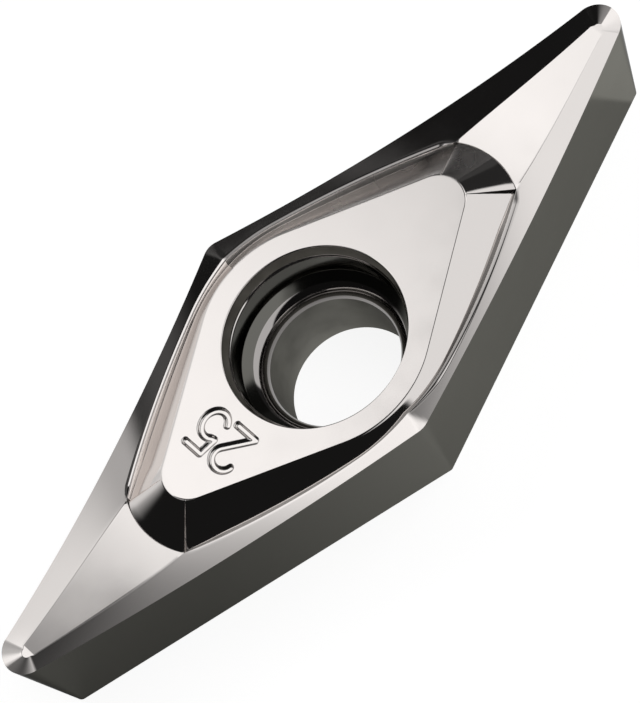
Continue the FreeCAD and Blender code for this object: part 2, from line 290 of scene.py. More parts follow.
def on_arc(centre, radius, angle, height):
    """Point of a leaning wall over one arc; the angle runs from X."""
    reach = radius - (WALL_TOP - height) * TAN_WALL
    return (centre[0] + reach * math.cos(angle), centre[1] + reach * math.sin(angle))


def wall_lines(signs):
    """The stations of the groove wall from the Y axis to the X axis.

    Each is a function that gives its place at a height, the outward direction there, and the
    sizes of the rim along its top.
    """
    corner = wall_corner(WALL_CORNER_HEIGHT)
    long_end = math.atan2(corner[1] - LONG_ARC[1], corner[0] - LONG_ARC[0])
    end_start = math.atan2(corner[1] - END_ARC[1], corner[0] - END_ARC[0])
    turn = math.pi / 2 - TURN
    side_share = WALL_SIDE_RADIUS * TURN
    long_share = WALL_LONG_RADIUS * (turn - long_end) - ROUND_CORNER
    walls = []
    for index in range(RING_STEPS + 1):
        run = (side_share + long_share) * index / RING_STEPS
        if run <= side_share:
            angle = math.pi / 2 - run / WALL_SIDE_RADIUS
            arc = (SIDE_ARC, WALL_SIDE_RADIUS, angle)
        else:
            angle = turn - (run - side_share) / WALL_LONG_RADIUS
            arc = (LONG_ARC, WALL_LONG_RADIUS, angle)
        grown = min(1.0, index / BEAD_SIDE_STATIONS)
        kept = min(1.0, (RING_STEPS - index) / BEAD_END_STATIONS)
        sizes = [end + (side + (ring - side) * grown - end) * kept
                 for side, end, ring in zip(SIDE_BEADS[signs[1]], END_BEAD, BEADS[signs])]
        walls.append((lambda z, a=arc: on_arc(*a, z), (math.cos(angle), math.sin(angle)), sizes))
    long_place, long_angle = walls[-1][0], angle
    start = end_start - ROUND_CORNER / WALL_END_RADIUS

    def corner_line(t):
        def place(z):
            a, b, c = long_place(z), wall_corner(z), on_arc(END_ARC, WALL_END_RADIUS, start, z)
            return tuple((1 - t) ** 2 * a[i] + 2 * t * (1 - t) * b[i] + t * t * c[i]
                         for i in (0, 1))
        between = (1 - t) * long_angle + t * start
        return place, (math.cos(between), math.sin(between)), END_BEAD

    walls += [corner_line(k / ROUND_ROWS) for k in range(1, ROUND_ROWS)]
    for j in range(END_STEPS + 1):
        angle = start * (1 - j / END_STEPS)
        walls.append((lambda z, a=angle: on_arc(END_ARC, WALL_END_RADIUS, a, z),
                      (math.cos(angle), math.sin(angle)), END_BEAD))
    return walls


def ring_profile(wall, fade):
    """Points from the shaped top over the ring, down the wall and up to the flat of the centre.

    The wall loses its height as the fade goes from 0 to 1.
    """
    place, out, (bead, lift, round_in, level) = wall
    ring = solve(lambda z: z - top(*place(z)), *RING_HEIGHTS)
    foot = solve(lambda z: z - slope_side(*place(z)), FOOT_LOWEST, ring)
    foot += (ring - foot) * FADE_SHARE * fade * fade * (3 - 2 * fade)
    at_ring, at_foot = place(ring), place(foot)
    outer = top(at_ring[0] + bead * out[0], at_ring[1] + bead * out[1])
    points = []
    for k in range(BEAD_ROWS + 1):
        reach = bead * (1 - BEAD_SPREAD * k / BEAD_ROWS)
        x, y = at_ring[0] + reach * out[0], at_ring[1] + reach * out[1]
        own = top(x, y) + lift * (1 - (reach / bead) ** 2)
        points.append((x, y, own + level * (outer + BEAD_FALL * (bead - reach) - own)))
    drop = ring - foot
    inner = min(round_in, RIM_SHARE * drop)
    below = (*place(ring - inner), ring - inner)
    head = ring + lift + level * (outer + BEAD_FALL * bead - ring - lift)
    points += bezier(points[-1], (*at_ring, head), below, ROUND_ROWS)
    low = foot + min(ROUND_FOOT, FOOT_SHARE * drop)
    for k in range(1, WALL_STEPS + 1):
        z = below[2] + (low - below[2]) * k / WALL_STEPS
        points.append((*place(z), z))
    rim = rim_point(*at_foot, 0.0)
    span = math.hypot(at_foot[0] - rim[0], at_foot[1] - rim[1])
    away = ((at_foot[0] - rim[0]) / span, (at_foot[1] - rim[1]) / span)
    up_start = span - ROUND_FOOT
    up = (rim[0] + away[0] * up_start, rim[1] + away[1] * up_start)
    fall = (CENTRE_HEIGHT - foot) / span
    points += bezier((*place(low), low), (*at_foot, foot),
                     (*up, CENTRE_HEIGHT - up_start * fall), FOOT_ROWS)
    for k in range(1, SLOPE_STEPS + 1):
        reach = up_start + (ROUND_RIM - up_start) * k / SLOPE_STEPS
        points.append((rim[0] + away[0] * reach, rim[1] + away[1] * reach,
                       CENTRE_HEIGHT - reach * fall))
    flat = (rim[0] - away[0] * ROUND_RIM, rim[1] - away[1] * ROUND_RIM, CENTRE_HEIGHT)
    points += bezier(points[-1], (*rim, CENTRE_HEIGHT), flat, ROUND_ROWS)
    return points


def edge_point(run):
    """Point of the cutting edge; run is its length from the nose tangent, below 0 at the nose."""
    height = THICKNESS
    if run < 0:
        return flank_point(run, height)
    for _ in range(EDGE_TRIES):
        x, y = flank_point(run, height)[:2]
        height = land(x, y)
    return (x, y, min(height, THICKNESS))


def flank_point(run, height):
    """Point of the leaning flank below the edge at a height."""
    inset = (THICKNESS - height) * TAN_CLEAR
    if run < 0:
        angle = math.pi / 2 - math.radians(HALF_CORNER) + run / NOSE_RADIUS
        reach = NOSE_RADIUS - inset
        return (NOSE_X + reach * math.cos(angle), reach * math.sin(angle), height)
    if run > EDGE_LENGTH:
        angle = math.pi / 2 - math.radians(HALF_CORNER) + (run - EDGE_LENGTH) / SIDE_RADIUS
        reach = SIDE_RADIUS - inset
        return (reach * math.cos(angle), SIDE_Y + reach * math.sin(angle), height)
    reach = INSCRIBED - inset
    ahead = COS_H * NOSE_X - run
    return (SIN_H * reach + COS_H * ahead, COS_H * reach - SIN_H * ahead, height)


def along_of(x, y):
    """Length along the flank's edge from its nose tangent."""
    return -COS_H * x + SIN_H * y + COS_H * NOSE_X


def valley_point(run):
    """Where the land meets the facets, on the line that runs inwards from the edge."""
    if run < 0:
        angle = math.pi / 2 - math.radians(HALF_CORNER) + run / NOSE_RADIUS
        reach = solve(lambda r: land(NOSE_X + r * math.cos(angle), r * math.sin(angle))
                      - facet(NOSE_X + r * math.cos(angle)), TIP_INSET, NOSE_RADIUS)
        return (NOSE_X + reach * math.cos(angle), reach * math.sin(angle))

    def place(inset):
        x, y = flank_point(run, THICKNESS)[:2]
        return (x - SIN_H * inset, y - COS_H * inset)

    inset = solve(lambda i: land(*place(i)) - facet(place(i)[0]), *VALLEY_INSETS)
    return place(inset)


def quarter_patches(signs):
    """Grids of points for one quarter, each a list of equal rows, with X and Y above zero."""
    rings = [ring_profile(wall, min(1.0, max(0.0, (index - FADE_START) / FADE_STATIONS)))
             for index, wall in enumerate(wall_lines(signs))]
    run_meet = along_of(*rings[RING_STEPS + ROUND_ROWS // 2][0][:2])
    runs, lands, inner_ends = valley_rows(rings, run_meet)
    side_runs, beside = side_rows(rings, run_meet)
    columns = facet_columns(rings, inner_ends)
    knee = NOSE_STEPS + KNEE_STEPS
    flanks = []
    for run in runs + side_runs[1:]:
        edge = edge_point(run)
        flanks.append([edge] + [flank_point(run, edge[2] * (1 - k / FLANK_ROWS))
                                for k in range(1, FLANK_ROWS + 1)])
    return {
        "land": lands,
        "land_side": beside,
        "facet_long": columns[knee:],
        "facet_nose": columns[:knee + 1],
        "groove": rings,
        "flank": flanks,
    }


def valley_rows(rings, run_meet):
    """Rows of the land over its valley with the facets, from the nose on X to the ring.

    Gives the runs of the rows along the edge, the rows and the facets' end of each.
    """
    run_knee = solve(lambda r: valley_point(r)[0] - FACET_START, *KNEE_RUNS)
    nose_run = NOSE_RADIUS * (math.pi / 2 - math.radians(HALF_CORNER))
    runs = [-nose_run * (1 - i / NOSE_STEPS) for i in range(NOSE_STEPS)]
    runs += [run_knee * i / KNEE_STEPS for i in range(KNEE_STEPS)]
    runs += [run_knee + (run_meet - run_knee) * i / CREASE_STEPS for i in range(CREASE_STEPS + 1)]
    lands, inner_ends = [], []
    for index, run in enumerate(runs):
        x, y = valley_point(run)
        edge = edge_point(run)
        length = math.hypot(edge[0] - x, edge[1] - y)
        side = ((edge[0] - x) / length * ROUND_VALLEY, (edge[1] - y) / length * ROUND_VALLEY)
        outer = (x + side[0], y + side[1])
        inner = (x - side[0], y - side[1]) if index else (x - ROUND_VALLEY, 0.0)
        outer, inner = (*outer, land(*outer)), (*inner, facet(inner[0]))
        if index == len(runs) - 1:
            curve = [rings[RING_STEPS + k][0] for k in range(ROUND_ROWS + 1)]
        else:
            curve = [outer] + bezier(outer, (x, y, facet(x) - VALLEY_DIP), inner, ROUND_ROWS)
        lands.append(land_row(edge, curve[0]) + curve[1:])
        inner_ends.append(curve[-1])
    return runs, lands, inner_ends


def side_rows(rings, run_meet):
    """Runs and rows of the land beside the ring, from the valley to the Y axis."""
    side_length = EDGE_LENGTH + SIDE_RADIUS * math.radians(HALF_CORNER) - run_meet
    starts = [ring[0] for ring in rings[RING_STEPS::-1]]
    first, last = along_of(*starts[0][:2]), along_of(*starts[-1][:2])
    runs = [run_meet + side_length * (along_of(*start[:2]) - first) / (last - first)
            for start in starts]
    return runs, [land_row(edge_point(run), start) for run, start in zip(runs, starts)]


def facet_columns(rings, inner_ends):
    """Columns of a facet from its valley to the X axis, which bend as the ring does near it."""
    ends = [ring[0] for ring in rings[RING_STEPS + ROUND_ROWS:]]
    shares = [point[1] / ends[0][1] for point in ends]
    bulges = [point[0] - ends[0][0] for point in ends]
    knee_x = inner_ends[NOSE_STEPS + KNEE_STEPS][0]
    reach = knee_x - inner_ends[-1][0]
    columns = []
    for point in inner_ends[:-1]:
        weight = max(0.0, (knee_x - point[0]) / reach) ** BEND_POWER
        column = [(point[0] + weight * bulge, point[1] * share, facet(point[0] + weight * bulge))
                  for share, bulge in zip(shares, bulges)]
        columns.append([point] + column[1:])
    return columns + [[inner_ends[-1]] + ends[1:]]


def land_row(edge, start):
    """Points of the land from the cutting edge to its inner start."""
    return [land_row_point(edge, start, k / LAND_ROWS) for k in range(LAND_ROWS + 1)]


def land_row_point(edge, start, share):
    """Point of the land between its inner start and the cutting edge."""
    if share == 0:
        return edge
    if share == 1:
        return start
    x = edge[0] + (start[0] - edge[0]) * share
    y = edge[1] + (start[1] - edge[1]) * share
    return (x, y, land(x, y))


def hole_rows():
    """Radius and height down the hole, with its corners rounded."""
    corners = [(HOLE[0][0] + HOLE_FLAT, CENTRE_HEIGHT)] + HOLE
    rows = []
    for before, corner, after in zip(corners, corners[1:], corners[2:]):
        to_before, to_after = math.dist(before, corner), math.dist(corner, after)
        size = min(ROUND_HOLE, HOLE_ROUND_SHARE * to_before, HOLE_ROUND_SHARE * to_after)
        first = [c + (b - c) * size / to_before for b, c in zip(before, corner)]
        second = [c + (a - c) * size / to_after for a, c in zip(after, corner)]
        rows += [tuple(first)] + bezier(first, corner, second, HOLE_ROUND_ROWS)
    step, rise = HOLE[-1][0] - BORE_RADIUS, HOLE[-1][1] - BORE_TOP
    radius = (step * step + rise * rise) / (2 * step)
    sweep = math.asin(rise / radius)
    for k in range(HOLE_SEAT_STEPS + 1):
        angle = sweep * (1 - k / HOLE_SEAT_STEPS)
        rows.append((BORE_RADIUS + radius * (1 - math.cos(angle)),
                     BORE_TOP + radius * math.sin(angle)))
    return rows + [(BORE_RADIUS, BORE_TOP * (1 - k / BORE_ROWS)) for k in range(1, BORE_ROWS + 1)]


def circle(radius):
    """Points of a circle about Z."""
    turns = [2 * math.pi * k / TURN_STEPS for k in range(TURN_STEPS)]
    return [(radius * math.cos(turn), radius * math.sin(turn)) for turn in turns]


def arc_path(cx, cy, rx, ry, start, end, count=28):
    """Points along part of an ellipse, with angles in degrees."""
    turns = [math.radians(start + (end - start) * k / count) for k in range(count + 1)]
    return [(cx + rx * math.cos(turn), cy + ry * math.sin(turn)) for turn in turns]


def figure_paths():
    """Centre lines of the two plain figures, drawn upright round their own middles, in mm."""
    two = arc_path(0.0, 0.36, 0.40, 0.37, 170, -38) + [(-0.40, -0.73), (0.42, -0.73)]
    five = [(0.36, 0.73), (-0.32, 0.73), (-0.38, 0.12)]
    five += arc_path(-0.02, -0.25, 0.42, 0.48, 122, -150)
    return [(two, FIGURE_FIRST), (five, FIGURE_SECOND)]


def stroke_distance(points):
    """Distance of each point in plan to the nearest centre line of the figures."""
    nearest = np.full(len(points), np.inf)
    for path, (px, py) in figure_paths():
        # the figures stand with their heads towards -X
        placed = [(px - v, py + u) for u, v in path]
        for (ax, ay), (bx, by) in zip(placed, placed[1:]):
            side = np.array([bx - ax, by - ay])
            length = max(float(side @ side), 1e-12)
            away = points - (ax, ay)
            share = np.clip((away @ side) / length, 0, 1)
            gap = np.hypot(away[:, 0] - share * side[0], away[:, 1] - share * side[1])
            nearest = np.minimum(nearest, gap)
    return nearest


def rim_gap(x, y):
    """How far inside the outline of the raised centre a place is."""
    return (slope_side(abs(x), abs(y)) - CENTRE_HEIGHT) * TAN_CENTRE


def figure_field(depth):
    """Fine squares round the figures: corner points with their heights, and the squares kept."""
    x0, x1, y0, y1 = FIGURE_BOX
    columns, rows = round((x1 - x0) / FIGURE_STEP), round((y1 - y0) / FIGURE_STEP)
    grid = np.array([[(x0 + (x1 - x0) * i / columns, y0 + (y1 - y0) * j / rows)
                      for j in range(rows + 1)] for i in range(columns + 1)])
    gaps = stroke_distance(grid.reshape(-1, 2)).reshape(grid.shape[:2])
    share = np.clip((gaps - FIGURE_FLOOR) / (FIGURE_HALF - FIGURE_FLOOR), 0, 1)
    heights = CENTRE_HEIGHT - depth * (1 - share * share * (3 - 2 * share))
    inside = np.array([[rim_gap(*p) > FIGURE_MARGIN for p in line] for line in grid])
    kept = inside[:-1, :-1] & inside[1:, :-1] & inside[1:, 1:] & inside[:-1, 1:]
    return grid, heights, kept


def field_border(kept):
    """Edges of the kept squares that border on nothing, as pairs of grid indices."""
    count = {}
    for i, j in zip(*np.nonzero(kept)):
        corners = [(i, j), (i + 1, j), (i + 1, j + 1), (i, j + 1)]
        for a, b in zip(corners, corners[1:] + corners[:1]):
            key = tuple(sorted((a, b)))
            count[key] = count.get(key, 0) + 1
    return [key for key, times in count.items() if times == 1]


def fill_flat(outer, inner, border, leave_out):
    """Triangles of a flat face between an outer loop, an inner loop and other border edges."""
    points, edges = [], []
    for loop in (outer, inner):
        first = len(points)
        points += loop
        edges += [(first + k, first + (k + 1) % len(loop)) for k in range(len(loop))]
    index = {}
    for pair in border:
        for place in pair:
            if place not in index:
                index[place] = len(points)
                points.append(place)
        edges.append((index[pair[0]], index[pair[1]]))
    made = delaunay_2d_cdt([mathutils.Vector(p) for p in points], edges, [], 1, 1e-9)
    triangles = []
    for face in made[2]:
        corners = [tuple(made[0][k]) for k in face]
        middle = [sum(c[i] for c in corners) / len(corners) for i in (0, 1)]
        if not leave_out(*middle):
            triangles.append(corners)
    return triangles


class Surface:
    """Gathers points and faces, each face with the number of the patch that it belongs to."""

    def __init__(self):
        self.points, self.faces, self.patches = [], [], []

    def face(self, corners, patch):
        """Adds one face by its corners."""
        first = len(self.points)
        self.points += corners
        self.faces.append(tuple(range(first, first + len(corners))))
        self.patches.append(patch)

    def grid(self, rows, patch, signs=(1, 1)):
        """Adds the squares between equal rows of points, mirrored by the signs."""
        first, width = len(self.points), len(rows[0])
        for row in rows:
            self.points += [(p[0] * signs[0], p[1] * signs[1], p[2]) for p in row]
        for i in range(len(rows) - 1):
            for j in range(width - 1):
                a = first + i * width + j
                self.faces.append((a, a + 1, a + width + 1, a + width))
                self.patches.append(patch)

    def mesh(self, name):
        """Joins equal points and returns the mesh with its sharp edges marked."""
        made = bmesh.new()
        verts = [made.verts.new([c * MM for c in p]) for p in self.points]
        kind = made.faces.layers.int.new("patch")
        for corners, patch in zip(self.faces, self.patches):
            face = made.faces.new([verts[k] for k in corners])
            face[kind] = patch
            face.smooth = patch not in FLAT_PATCHES
            face.material_index = SLOTS.get(patch, 0)
        bmesh.ops.remove_doubles(made, verts=made.verts, dist=JOIN_DISTANCE)
        bmesh.ops.dissolve_degenerate(made, edges=made.edges, dist=LEAST_EDGE)
        bmesh.ops.recalc_face_normals(made, faces=made.faces)
        for edge in made.edges:
            touched = {face[kind] for face in edge.link_faces}
            if any(pair <= touched for pair in SHARP_PAIRS):
                edge.smooth = False
        mesh = bpy.data.meshes.new(name)
        made.to_mesh(mesh)
        made.free()
        return mesh


def mirrored(points, signs):
    """Places in plan of a quarter's points in another quarter."""
    return {(round(p[0] * signs[0], 6), round(p[1] * signs[1], 6)) for p in points}


def whole_loop(places):
    """A closed loop in order round Z."""
    return sorted(places, key=lambda p: math.atan2(p[1], p[0]))


def build_surface(depth):
    """The whole skin of the insert as one closed mesh."""
    skin = Surface()
    rim, seat = set(), set()
    for signs in MIRRORS:
        patches = quarter_patches(signs)
        rim |= mirrored([row[-1] for row in patches["groove"]], signs)
        seat |= mirrored([row[-1] for row in patches["flank"]], signs)
        skin.grid(patches["land"], LAND, signs)
        skin.grid(patches["land_side"], LAND, signs)
        skin.grid(patches["facet_long"], FACET, signs)
        skin.grid(patches["facet_nose"], NOSE_FACET, signs)
        rings = patches["groove"]
        walls = [ring[RIM_ROWS:WALL_ROWS + 1] for ring in rings]
        skin.grid([ring[:RIM_ROWS + 1] for ring in rings], GROOVE, signs)
        # the groove's walls take darker colours as painted shade, save in the left quarter, which
        # takes a lighter copy of the polish as painted light
        skin.grid(walls[:RING_STEPS + 1], LEFT_WALL_PAINTED_LIGHT if signs == (-1, 1) else WALL, signs)
        skin.grid(walls[RING_STEPS:], END_WALL, signs)
        slopes = [ring[WALL_ROWS:] for ring in rings]
        # the slope of the far quarter takes a lighter copy of the polish, painted light
        skin.grid(slopes, FAR_SLOPE_PAINTED_LIGHT if signs == (1, 1) else GROOVE, signs)
        skin.grid(patches["flank"], FLANK, signs)

    # the flat of the centre round the figures
    grid, heights, kept = figure_field(depth)
    for i, j in zip(*np.nonzero(kept)):
        places = [(i, j), (i + 1, j), (i + 1, j + 1), (i, j + 1)]
        skin.face([(*grid[a], heights[a]) for a in places], FIGURES)
    border = [tuple(tuple(float(c) for c in grid[a]) for a in pair)
              for pair in field_border(kept)]
    x0, x1, y0, y1 = FIGURE_BOX
    columns, rows = kept.shape

    def in_field(x, y):
        i, j = int((x - x0) / (x1 - x0) * columns), int((y - y0) / (y1 - y0) * rows)
        return x0 < x < x1 and y0 < y < y1 and kept[i, j]

    hole = hole_rows()
    mouth = hole[0][0]
    for corners in fill_flat(whole_loop(rim), circle(mouth), border,
                             lambda x, y: math.hypot(x, y) < mouth * INSIDE or in_field(x, y)):
        skin.face([(*p, CENTRE_HEIGHT) for p in corners], CENTRE)

    rings = [[(x, y, z) for x, y in circle(r)] for r, z in hole]
    rings = [row + [row[0]] for row in rings]
    chamfer_end = sum(1 for r, z in hole if z > HOLE_EDGE_END)
    seat_start = sum(1 for r, z in hole if z > HOLE_WALL_END)
    skin.grid(rings[:chamfer_end + 1], HOLE_EDGE)
    # the wall, seat and bore of the hole take darker colours, painted shade
    skin.grid(rings[chamfer_end:seat_start + 1], HOLE_WALL)
    skin.grid(rings[seat_start:-BORE_ROWS], HOLE_SEAT)
    skin.grid(rings[-BORE_ROWS - 1:], BORE)

    for corners in fill_flat(whole_loop(seat), circle(BORE_RADIUS), [],
                             lambda x, y: math.hypot(x, y) < BORE_RADIUS * INSIDE):
        skin.face([(*p, 0.0) for p in corners], SEAT)
    return skin.mesh("insert_surface")


class Field:
    """A number that a material works out, written with the usual signs."""

    def __init__(self, tree, socket):
        self.tree, self.socket = tree, socket

    def math(self, operation, *others):
        """The field worked on with other fields or numbers."""
        node = self.tree.nodes.new("ShaderNodeMath")
        node.operation = operation
        for index, value in enumerate((self,) + others):
            if isinstance(value, Field):
                self.tree.links.new(value.socket, node.inputs[index])
            else:
                node.inputs[index].default_value = value
        return Field(self.tree, node.outputs[0])

    def lift(self, value):
        """A plain number as a field."""
        return value if isinstance(value, Field) else constant(self.tree, value)

    def __add__(self, other):
        return self.math("ADD", other)

    def __sub__(self, other):
        return self.math("SUBTRACT", other)

    def __mul__(self, other):
        return self.math("MULTIPLY", other)

    def __truediv__(self, other):
        return self.math("DIVIDE", other)

    def __radd__(self, other):
        return self.lift(other) + self

    def __rsub__(self, other):
        return self.lift(other) - self

    def rise(self, low, high):
        """Smooth step from 0 at low to 1 at high."""
        node = make(self.tree, "ShaderNodeMapRange", {"interpolation_type": "SMOOTHSTEP"},
                    {"Value": self, "From Min": low, "From Max": high})
        return Field(self.tree, node.outputs[0])


def constant(tree, value):
    """A field with the same value everywhere."""
    node = make(tree, "ShaderNodeValue", {}, {})
    node.outputs[0].default_value = value
    return Field(tree, node.outputs[0])


def make(tree, kind, settings, values):
    """A node with its settings and its inputs, which are fields, sockets or plain values."""
    node = tree.nodes.new(kind)
    for name, value in settings.items():
        setattr(node, name, value)
    for name, value in values.items():
        if isinstance(value, Field):
            value = value.socket
        if isinstance(value, bpy.types.NodeSocket):
            tree.links.new(value, node.inputs[name])
        else:
            node.inputs[name].default_value = value
    return node


def fresh_material(name):
    """An empty material and its node tree."""
    material = bpy.data.materials.new(name)
    material.use_nodes = True
    material.node_tree.nodes.clear()
    return material, material.node_tree


def carbide_material(name, colour, roughness, edge):
    """Cemented carbide with faint clouds in its polish; the edge dims its flattest mirroring."""
    material, tree = fresh_material(name)
    place = make(tree, "ShaderNodeTexCoord", {}, {})
    cloud = make(tree, "ShaderNodeTexNoise", {},
                 {"Vector": place.outputs["Object"], "Scale": CLOUD_SCALE, "Detail": CLOUD_DETAIL})
    uneven = Field(tree, cloud.outputs[0])
    surface = make(tree, "ShaderNodeBsdfPrincipled", {},
                   {"Base Color": (*colour, 1.0), "Metallic": 1.0,
                    "Roughness": roughness + (uneven - 0.5) * roughness,
                    "Specular Tint": (edge, edge, edge, 1.0)})
    output = make(tree, "ShaderNodeOutputMaterial", {}, {})
    tree.links.new(surface.outputs[0], output.inputs["Surface"])
    material.diffuse_color = (*colour, 1.0)
    return material


def finishes_and_painted_light(look):
    """Name, colour, roughness and edge of each material, in the order of their slots; slots 2 to 6
    are darkened as painted shade, 7 and 8 lightened as painted light.
    """
    return [
        ("polished_carbide", look.colour, look.roughness, 1.0),
        ("ground_flank", look.flank_colour, look.flank_roughness, 0.25),
        # the bore, wall and screw seat of the hole are darker colours, painted shade in the hole;
        # the bore's greater roughness is its own finish
        ("rough_bore_painted_shade", look.bore_painted_shade_colour, 0.5, 0.3),
        ("hole_wall_painted_shade", look.bore_painted_shade_colour * 0.5, 0.12, 0.6),
        ("screw_seat_painted_shade", look.colour * 0.55, 0.08, 0.8),
        # the groove's walls are darker colours, painted shade in the groove
        ("end_wall_painted_shade", look.wall_painted_shade_colour * 0.6, 0.4, 0.5),
        ("groove_wall_painted_shade", look.wall_painted_shade_colour * 1.6, 0.3, 0.8),
        # lighter copies of the polish for the far quarter's slope and the left quarter's wall:
        # painted light
        ("far_slope_painted_light", look.colour * 1.34, 0.25, 1.0),
        ("left_wall_painted_light", look.colour * 1.3, 0.15, 1.0),
    ]


def floor_material(colour, fill):
    """Pale floor; what camera and metal see of it is filled up to white, under its own shadow.

    The metal sees a small glowing patch of floor, painted reflection with painted shade: dim on
    the near side, fading out to the right.
    """
    material, tree = fresh_material("pale_floor")
    place = make(tree, "ShaderNodeTexCoord", {}, {})
    parts = make(tree, "ShaderNodeSeparateXYZ", {}, {"Vector": place.outputs["Object"]})
    # places on the floor, in metres
    px, py = (Field(tree, parts.outputs[k]) for k in range(2))
    # painted reflection for the metal: the floor glows round the insert and fades out further off
    painted_reflection_sheet = 1.0 - (px * px + py * py).math("SQRT").rise(0.020, 0.045)
    painted_reflection_sheet = painted_reflection_sheet + (py * 0.3 - px).rise(0.0, 0.02) * (1.0 - painted_reflection_sheet) * 0.65
    # painted shade in that glow on the insert's near side, save beyond 13 mm along X
    near = px.rise(-0.010, 0.004) * 0.38 + 0.12
    near = near + px.rise(0.0129, 0.0131) * (1.0 - near)
    painted_reflection_sheet = painted_reflection_sheet * (near + py.rise(0.0, 0.004) * (1.0 - near))
    diffuse = make(tree, "ShaderNodeBsdfDiffuse", {}, {"Color": (*colour, 1.0)})
    path = make(tree, "ShaderNodeLightPath", {}, {})
    seen = Field(tree, path.outputs["Is Glossy Ray"])
    seen = seen.math("MAXIMUM", Field(tree, path.outputs["Is Transmission Ray"])) * painted_reflection_sheet
    seen = seen.math("MAXIMUM", Field(tree, path.outputs["Is Camera Ray"]))
    glow = make(tree, "ShaderNodeEmission", {}, {"Color": WHITE, "Strength": seen * fill})
    both = make(tree, "ShaderNodeAddShader", {}, {})
    tree.links.new(diffuse.outputs[0], both.inputs[0])
    tree.links.new(glow.outputs[0], both.inputs[1])
    output = make(tree, "ShaderNodeOutputMaterial", {}, {})
    tree.links.new(both.outputs[0], output.inputs["Surface"])
    return material


def studio_light(tree):
    """Brightness of the studio in each direction, from soft panels on a dark room."""
    place = make(tree, "ShaderNodeTexCoord", {}, {})
    parts = make(tree, "ShaderNodeSeparateXYZ", {}, {"Vector": place.outputs["Generated"]})
    dx, dy, dz = (Field(tree, parts.outputs[k]) for k in range(3))
    # degrees from overhead, split along X and Y
    across = (dx * dx + dy * dy + 1e-9).math("SQRT")
    lean = dz.math("ARCCOSINE") * math.degrees(1.0)
    x, y = lean * dx / across, lean * dy / across
    west = 0.0 - x

    # the great panel behind: it fades to the right, and sets in sharply above the near dark
    back = x + y.rise(30.0, 55.0) * 4.0
    fading = 1.0 - back.rise(0.0, 24.0) * (0.88 + y.rise(30.0, 55.0) * 0.10)
    soft = west.rise(18.0, 28.0)
    sharp = (y - x.rise(6.0, 10.0) * 1.9).rise(25.4, 26.6)
    start = sharp * (1.0 - soft) + y.rise(42.0, 70.0) * soft
    far = start * fading * (1.0 - y.rise(36.0, 56.0) * 0.16 - y.rise(58.0, 72.0) * 0.2)
    far = far * (1.0 - west.rise(50.0, 64.0) * 0.85) * (1.0 - x.rise(26.0, 36.0) * 0.8) * 1.22

    # the panel on the right, in two steps along a slanting edge, cut off in front
    beside = (x - 3.0) * 0.777 - (y - 2.0) * 0.631
    front = ((x + 5.0) + (y + 35.0)) * 0.707
    near = beside.rise(1.0, 4.0) * 0.5 + beside.rise(6.0, 14.0) * 0.45
    right = near * (1.0 - (y + x.rise(26.0, 38.0) * 19.0).rise(20.0, 25.0)) * front.rise(-3.0, 3.0)

    # small glows: overhead, on both sides between the panels, and low behind on the right
    glow = x.rise(-5.0, 1.0) * (1.0 - x.rise(2.0, 8.0) * 0.8) * y.rise(0.0, 5.0) * 0.07
    tips = x.rise(18.5, 24.0) * (1.0 - x.rise(30.0, 36.0)) * 0.7
    tips = tips * y.rise(2.0, 8.0) * (1.0 - y.rise(24.0, 29.0))
    other = west.rise(10.0, 18.0) * (1.0 - west.rise(24.0, 32.0)) * 0.35
    tips = tips + other * y.rise(5.0, 12.0) * (1.0 - y.rise(24.0, 28.0))
    low = y.rise(60.0, 76.0) * x.rise(4.0, 16.0) * 0.22
    return far + low + (right + glow + tips) * (1.0 - lean.rise(70.0, 79.0)) + 0.01


class InsertLook(bpy.types.PropertyGroup):
    """Finish of the insert, with the painted shade of its hole and groove walls, and size of its
    small details.
    """

    colour: bpy.props.FloatVectorProperty(
        name="Polish colour", description="Colour of the polished faces", subtype="COLOR", size=3,
        min=0.0, max=1.0, default=(0.735, 0.70, 0.68))
    roughness: bpy.props.FloatProperty(
        name="Polish roughness", description="Roughness of the polished faces", subtype="FACTOR",
        min=0.0, max=1.0, default=0.07)
    flank_colour: bpy.props.FloatVectorProperty(
        name="Flank colour", description="Colour of the ground flanks", subtype="COLOR", size=3,
        min=0.0, max=1.0, default=(0.415, 0.41, 0.375))
    flank_roughness: bpy.props.FloatProperty(
        name="Flank roughness", description="Roughness of the ground flanks", subtype="FACTOR",
        min=0.0, max=1.0, default=0.16)
    # darker than the polish as painted shade in the hole; the bore's roughness is set with its
    # material
    bore_painted_shade_colour: bpy.props.FloatVectorProperty(
        name="Bore colour", description="Colour of the unpolished bore", subtype="COLOR", size=3,
        min=0.0, max=1.0, default=(0.28, 0.275, 0.25))
    # darker than the polish as painted shade on the groove's walls
    wall_painted_shade_colour: bpy.props.FloatVectorProperty(
        name="Wall colour", description="Colour of the steep wall of the groove", subtype="COLOR",
        size=3, min=0.0, max=1.0, default=(0.21, 0.205, 0.20))
    figure_depth: bpy.props.FloatProperty(
        name="Figure depth", description="How deep the figures are sunk", subtype="DISTANCE",
        unit="LENGTH", min=0.0, max=0.0002, default=0.00007)


